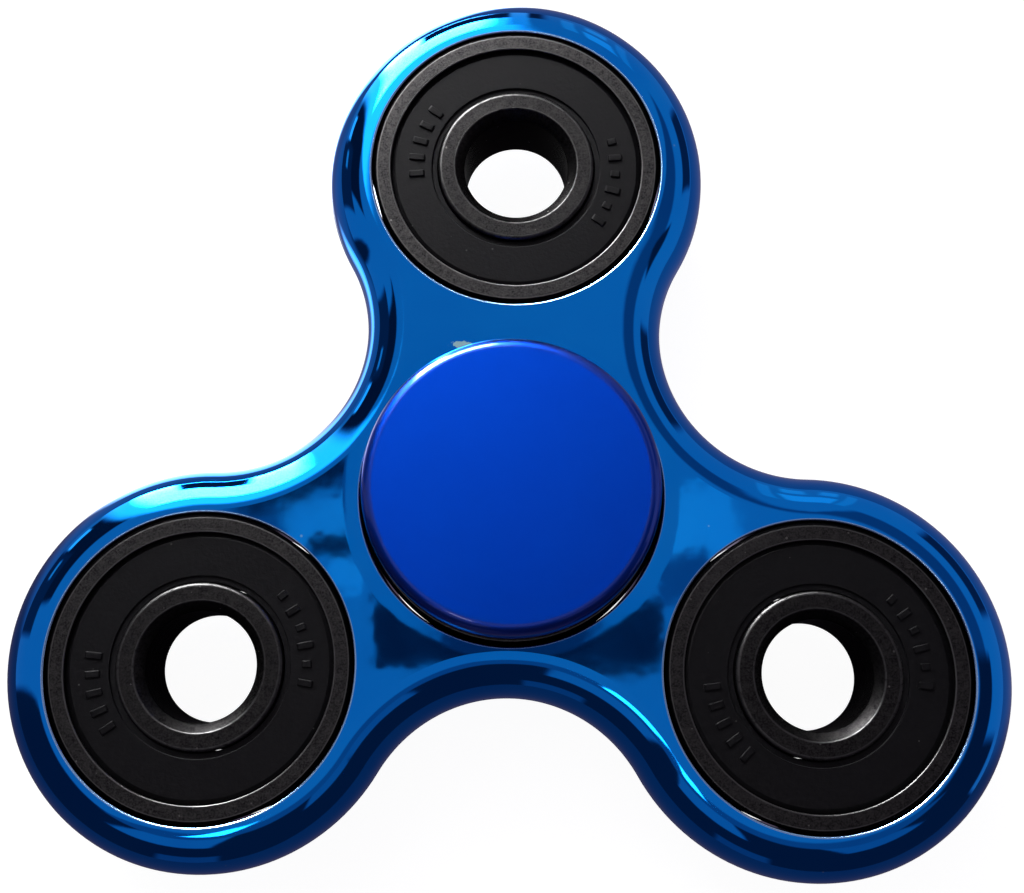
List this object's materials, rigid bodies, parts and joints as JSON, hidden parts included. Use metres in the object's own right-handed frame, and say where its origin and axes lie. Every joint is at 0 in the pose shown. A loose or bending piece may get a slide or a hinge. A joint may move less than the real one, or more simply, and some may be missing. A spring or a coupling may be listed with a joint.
{
  "type": "fidget spinner",
  "caption": "Three-armed hand spinner: metallic blue rounded shell with a sealed ball bearing in the middle and in each arm's end, and round finger caps.",
  "frame": {"origin": "on the spin axis, at the bottom cap's flat face, which is what the spinner stands on", "axes": "+Z along the spin axis, +Y towards the first arm, +X across the other two arms, the longest way"},
  "size_m": [0.0736, 0.0677, 0.0164],
  "materials": {
    "plated_shell": "mirror-like tinted metallic plating on moulded plastic",
    "cap_plastic": "smooth satin gloss",
    "dark_ring_steel": "blackened, finely ground, with worn bright edges",
    "black_seal_rubber": "moulded, semi-matt, with raised marks",
    "cage_steel": "pressed sheet steel",
    "ball_steel": "polished"
  },
  "bodies": {
    "hub": {"cap_top": "cap_plastic", "cap_bottom": "cap_plastic", "hub_inner_ring": "dark_ring_steel"},
    "spinner": {"body_shell": "plated_shell", "hub_outer_ring": "dark_ring_steel", "hub_seal_top": "black_seal_rubber", "hub_seal_bottom": "black_seal_rubber", "arm_1_outer_ring": "dark_ring_steel", "arm_1_seal_top": "black_seal_rubber", "arm_1_seal_bottom": "black_seal_rubber", "arm_2_outer_ring": "dark_ring_steel", "arm_2_seal_top": "black_seal_rubber", "arm_2_seal_bottom": "black_seal_rubber", "arm_3_outer_ring": "dark_ring_steel", "arm_3_seal_top": "black_seal_rubber", "arm_3_seal_bottom": "black_seal_rubber"},
    "hub_cage": {"hub_cage": "cage_steel"},
    "arm_1_ring": {"arm_1_inner_ring": "dark_ring_steel"},
    "arm_1_cage": {"arm_1_cage": "cage_steel"},
    "arm_2_ring": {"arm_2_inner_ring": "dark_ring_steel"},
    "arm_2_cage": {"arm_2_cage": "cage_steel"},
    "arm_3_ring": {"arm_3_inner_ring": "dark_ring_steel"},
    "arm_3_cage": {"arm_3_cage": "cage_steel"},
    "hub_ball_1": {"hub_ball_1": "ball_steel"},
    "hub_ball_2": {"hub_ball_2": "ball_steel"},
    "hub_ball_3": {"hub_ball_3": "ball_steel"},
    "hub_ball_4": {"hub_ball_4": "ball_steel"},
    "hub_ball_5": {"hub_ball_5": "ball_steel"},
    "hub_ball_6": {"hub_ball_6": "ball_steel"},
    "hub_ball_7": {"hub_ball_7": "ball_steel"},
    "arm_1_ball_1": {"arm_1_ball_1": "ball_steel"},
    "arm_1_ball_2": {"arm_1_ball_2": "ball_steel"},
    "arm_1_ball_3": {"arm_1_ball_3": "ball_steel"},
    "arm_1_ball_4": {"arm_1_ball_4": "ball_steel"},
    "arm_1_ball_5": {"arm_1_ball_5": "ball_steel"},
    "arm_1_ball_6": {"arm_1_ball_6": "ball_steel"},
    "arm_1_ball_7": {"arm_1_ball_7": "ball_steel"},
    "arm_2_ball_1": {"arm_2_ball_1": "ball_steel"},
    "arm_2_ball_2": {"arm_2_ball_2": "ball_steel"},
    "arm_2_ball_3": {"arm_2_ball_3": "ball_steel"},
    "arm_2_ball_4": {"arm_2_ball_4": "ball_steel"},
    "arm_2_ball_5": {"arm_2_ball_5": "ball_steel"},
    "arm_2_ball_6": {"arm_2_ball_6": "ball_steel"},
    "arm_2_ball_7": {"arm_2_ball_7": "ball_steel"},
    "arm_3_ball_1": {"arm_3_ball_1": "ball_steel"},
    "arm_3_ball_2": {"arm_3_ball_2": "ball_steel"},
    "arm_3_ball_3": {"arm_3_ball_3": "ball_steel"},
    "arm_3_ball_4": {"arm_3_ball_4": "ball_steel"},
    "arm_3_ball_5": {"arm_3_ball_5": "ball_steel"},
    "arm_3_ball_6": {"arm_3_ball_6": "ball_steel"},
    "arm_3_ball_7": {"arm_3_ball_7": "ball_steel"}
  },
  "joints": [
    {"name": "body_spin", "type": "hinge", "parent": "hub", "child": "spinner", "pos_m": [0, 0, 0.0082], "axis": [0, 0, 1], "continuous": true},
    {"name": "hub_cage_spin", "type": "hinge", "parent": "hub", "child": "hub_cage", "pos_m": [0, 0, 0.0082], "axis": [0, 0, 1], "continuous": true},
    {"name": "arm_1_ring_spin", "type": "hinge", "parent": "spinner", "child": "arm_1_ring", "pos_m": [0, 0.0256, 0.0082], "axis": [0, 0, 1], "continuous": true},
    {"name": "arm_1_cage_spin", "type": "hinge", "parent": "spinner", "child": "arm_1_cage", "pos_m": [0, 0.0256, 0.0082], "axis": [0, 0, 1], "continuous": true},
    {"name": "arm_2_ring_spin", "type": "hinge", "parent": "spinner", "child": "arm_2_ring", "pos_m": [-0.02217, -0.0128, 0.0082], "axis": [0, 0, 1], "continuous": true},
    {"name": "arm_2_cage_spin", "type": "hinge", "parent": "spinner", "child": "arm_2_cage", "pos_m": [-0.02217, -0.0128, 0.0082], "axis": [0, 0, 1], "continuous": true},
    {"name": "arm_3_ring_spin", "type": "hinge", "parent": "spinner", "child": "arm_3_ring", "pos_m": [0.02217, -0.0128, 0.0082], "axis": [0, 0, 1], "continuous": true},
    {"name": "arm_3_cage_spin", "type": "hinge", "parent": "spinner", "child": "arm_3_cage", "pos_m": [0.02217, -0.0128, 0.0082], "axis": [0, 0, 1], "continuous": true},
    {"name": "hub_ball_1_roll", "type": "hinge", "parent": "hub_cage", "child": "hub_ball_1", "pos_m": [0, 0.0075, 0.0082], "axis": [0, 0, 1], "continuous": true},
    {"name": "hub_ball_2_roll", "type": "hinge", "parent": "hub_cage", "child": "hub_ball_2", "pos_m": [-0.00586, 0.00468, 0.0082], "axis": [0, 0, 1], "continuous": true},
    {"name": "hub_ball_3_roll", "type": "hinge", "parent": "hub_cage", "child": "hub_ball_3", "pos_m": [-0.00731, -0.00167, 0.0082], "axis": [0, 0, 1], "continuous": true},
    {"name": "hub_ball_4_roll", "type": "hinge", "parent": "hub_cage", "child": "hub_ball_4", "pos_m": [-0.00325, -0.00676, 0.0082], "axis": [0, 0, 1], "continuous": true},
    {"name": "hub_ball_5_roll", "type": "hinge", "parent": "hub_cage", "child": "hub_ball_5", "pos_m": [0.00325, -0.00676, 0.0082], "axis": [0, 0, 1], "continuous": true},
    {"name": "hub_ball_6_roll", "type": "hinge", "parent": "hub_cage", "child": "hub_ball_6", "pos_m": [0.00731, -0.00167, 0.0082], "axis": [0, 0, 1], "continuous": true},
    {"name": "hub_ball_7_roll", "type": "hinge", "parent": "hub_cage", "child": "hub_ball_7", "pos_m": [0.00586, 0.00468, 0.0082], "axis": [0, 0, 1], "continuous": true},
    {"name": "arm_1_ball_1_roll", "type": "hinge", "parent": "arm_1_cage", "child": "arm_1_ball_1", "pos_m": [0, 0.0331, 0.0082], "axis": [0, 0, 1], "continuous": true},
    {"name": "arm_1_ball_2_roll", "type": "hinge", "parent": "arm_1_cage", "child": "arm_1_ball_2", "pos_m": [-0.00586, 0.03028, 0.0082], "axis": [0, 0, 1], "continuous": true},
    {"name": "arm_1_ball_3_roll", "type": "hinge", "parent": "arm_1_cage", "child": "arm_1_ball_3", "pos_m": [-0.00731, 0.02393, 0.0082], "axis": [0, 0, 1], "continuous": true},
    {"name": "arm_1_ball_4_roll", "type": "hinge", "parent": "arm_1_cage", "child": "arm_1_ball_4", "pos_m": [-0.00325, 0.01884, 0.0082], "axis": [0, 0, 1], "continuous": true},
    {"name": "arm_1_ball_5_roll", "type": "hinge", "parent": "arm_1_cage", "child": "arm_1_ball_5", "pos_m": [0.00325, 0.01884, 0.0082], "axis": [0, 0, 1], "continuous": true},
    {"name": "arm_1_ball_6_roll", "type": "hinge", "parent": "arm_1_cage", "child": "arm_1_ball_6", "pos_m": [0.00731, 0.02393, 0.0082], "axis": [0, 0, 1], "continuous": true},
    {"name": "arm_1_ball_7_roll", "type": "hinge", "parent": "arm_1_cage", "child": "arm_1_ball_7", "pos_m": [0.00586, 0.03028, 0.0082], "axis": [0, 0, 1], "continuous": true},
    {"name": "arm_2_ball_1_roll", "type": "hinge", "parent": "arm_2_cage", "child": "arm_2_ball_1", "pos_m": [-0.02217, -0.0053, 0.0082], "axis": [0, 0, 1], "continuous": true},
    {"name": "arm_2_ball_2_roll", "type": "hinge", "parent": "arm_2_cage", "child": "arm_2_ball_2", "pos_m": [-0.02803, -0.00812, 0.0082], "axis": [0, 0, 1], "continuous": true},
    {"name": "arm_2_ball_3_roll", "type": "hinge", "parent": "arm_2_cage", "child": "arm_2_ball_3", "pos_m": [-0.02948, -0.01447, 0.0082], "axis": [0, 0, 1], "continuous": true},
    {"name": "arm_2_ball_4_roll", "type": "hinge", "parent": "arm_2_cage", "child": "arm_2_ball_4", "pos_m": [-0.02542, -0.01956, 0.0082], "axis": [0, 0, 1], "continuous": true},
    {"name": "arm_2_ball_5_roll", "type": "hinge", "parent": "arm_2_cage", "child": "arm_2_ball_5", "pos_m": [-0.01892, -0.01956, 0.0082], "axis": [0, 0, 1], "continuous": true},
    {"name": "arm_2_ball_6_roll", "type": "hinge", "parent": "arm_2_cage", "child": "arm_2_ball_6", "pos_m": [-0.01486, -0.01447, 0.0082], "axis": [0, 0, 1], "continuous": true},
    {"name": "arm_2_ball_7_roll", "type": "hinge", "parent": "arm_2_cage", "child": "arm_2_ball_7", "pos_m": [-0.01631, -0.00812, 0.0082], "axis": [0, 0, 1], "continuous": true},
    {"name": "arm_3_ball_1_roll", "type": "hinge", "parent": "arm_3_cage", "child": "arm_3_ball_1", "pos_m": [0.02217, -0.0053, 0.0082], "axis": [0, 0, 1], "continuous": true},
    {"name": "arm_3_ball_2_roll", "type": "hinge", "parent": "arm_3_cage", "child": "arm_3_ball_2", "pos_m": [0.01631, -0.00812, 0.0082], "axis": [0, 0, 1], "continuous": true},
    {"name": "arm_3_ball_3_roll", "type": "hinge", "parent": "arm_3_cage", "child": "arm_3_ball_3", "pos_m": [0.01486, -0.01447, 0.0082], "axis": [0, 0, 1], "continuous": true},
    {"name": "arm_3_ball_4_roll", "type": "hinge", "parent": "arm_3_cage", "child": "arm_3_ball_4", "pos_m": [0.01892, -0.01956, 0.0082], "axis": [0, 0, 1], "continuous": true},
    {"name": "arm_3_ball_5_roll", "type": "hinge", "parent": "arm_3_cage", "child": "arm_3_ball_5", "pos_m": [0.02542, -0.01956, 0.0082], "axis": [0, 0, 1], "continuous": true},
    {"name": "arm_3_ball_6_roll", "type": "hinge", "parent": "arm_3_cage", "child": "arm_3_ball_6", "pos_m": [0.02948, -0.01447, 0.0082], "axis": [0, 0, 1], "continuous": true},
    {"name": "arm_3_ball_7_roll", "type": "hinge", "parent": "arm_3_cage", "child": "arm_3_ball_7", "pos_m": [0.02803, -0.00812, 0.0082], "axis": [0, 0, 1], "continuous": true}
  ],
  "couplings": [
    {"joint": "hub_cage_spin", "follows": "body_spin", "ratio": 0.6323},
    {"joint": "arm_1_cage_spin", "follows": "arm_1_ring_spin", "ratio": 0.3677},
    {"joint": "arm_2_cage_spin", "follows": "arm_2_ring_spin", "ratio": 0.3677},
    {"joint": "arm_3_cage_spin", "follows": "arm_3_ring_spin", "ratio": 0.3677},
    {"joint": "hub_ball_1_roll", "follows": "body_spin", "ratio": 1.7573},
    {"joint": "hub_ball_2_roll", "follows": "body_spin", "ratio": 1.7573},
    {"joint": "hub_ball_3_roll", "follows": "body_spin", "ratio": 1.7573},
    {"joint": "hub_ball_4_roll", "follows": "body_spin", "ratio": 1.7573},
    {"joint": "hub_ball_5_roll", "follows": "body_spin", "ratio": 1.7573},
    {"joint": "hub_ball_6_roll", "follows": "body_spin", "ratio": 1.7573},
    {"joint": "hub_ball_7_roll", "follows": "body_spin", "ratio": 1.7573},
    {"joint": "arm_1_ball_1_roll", "follows": "arm_1_ring_spin", "ratio": -1.7573},
    {"joint": "arm_1_ball_2_roll", "follows": "arm_1_ring_spin", "ratio": -1.7573},
    {"joint": "arm_1_ball_3_roll", "follows": "arm_1_ring_spin", "ratio": -1.7573},
    {"joint": "arm_1_ball_4_roll", "follows": "arm_1_ring_spin", "ratio": -1.7573},
    {"joint": "arm_1_ball_5_roll", "follows": "arm_1_ring_spin", "ratio": -1.7573},
    {"joint": "arm_1_ball_6_roll", "follows": "arm_1_ring_spin", "ratio": -1.7573},
    {"joint": "arm_1_ball_7_roll", "follows": "arm_1_ring_spin", "ratio": -1.7573},
    {"joint": "arm_2_ball_1_roll", "follows": "arm_2_ring_spin", "ratio": -1.7573},
    {"joint": "arm_2_ball_2_roll", "follows": "arm_2_ring_spin", "ratio": -1.7573},
    {"joint": "arm_2_ball_3_roll", "follows": "arm_2_ring_spin", "ratio": -1.7573},
    {"joint": "arm_2_ball_4_roll", "follows": "arm_2_ring_spin", "ratio": -1.7573},
    {"joint": "arm_2_ball_5_roll", "follows": "arm_2_ring_spin", "ratio": -1.7573},
    {"joint": "arm_2_ball_6_roll", "follows": "arm_2_ring_spin", "ratio": -1.7573},
    {"joint": "arm_2_ball_7_roll", "follows": "arm_2_ring_spin", "ratio": -1.7573},
    {"joint": "arm_3_ball_1_roll", "follows": "arm_3_ring_spin", "ratio": -1.7573},
    {"joint": "arm_3_ball_2_roll", "follows": "arm_3_ring_spin", "ratio": -1.7573},
    {"joint": "arm_3_ball_3_roll", "follows": "arm_3_ring_spin", "ratio": -1.7573},
    {"joint": "arm_3_ball_4_roll", "follows": "arm_3_ring_spin", "ratio": -1.7573},
    {"joint": "arm_3_ball_5_roll", "follows": "arm_3_ring_spin", "ratio": -1.7573},
    {"joint": "arm_3_ball_6_roll", "follows": "arm_3_ring_spin", "ratio": -1.7573},
    {"joint": "arm_3_ball_7_roll", "follows": "arm_3_ring_spin", "ratio": -1.7573}
  ]
}
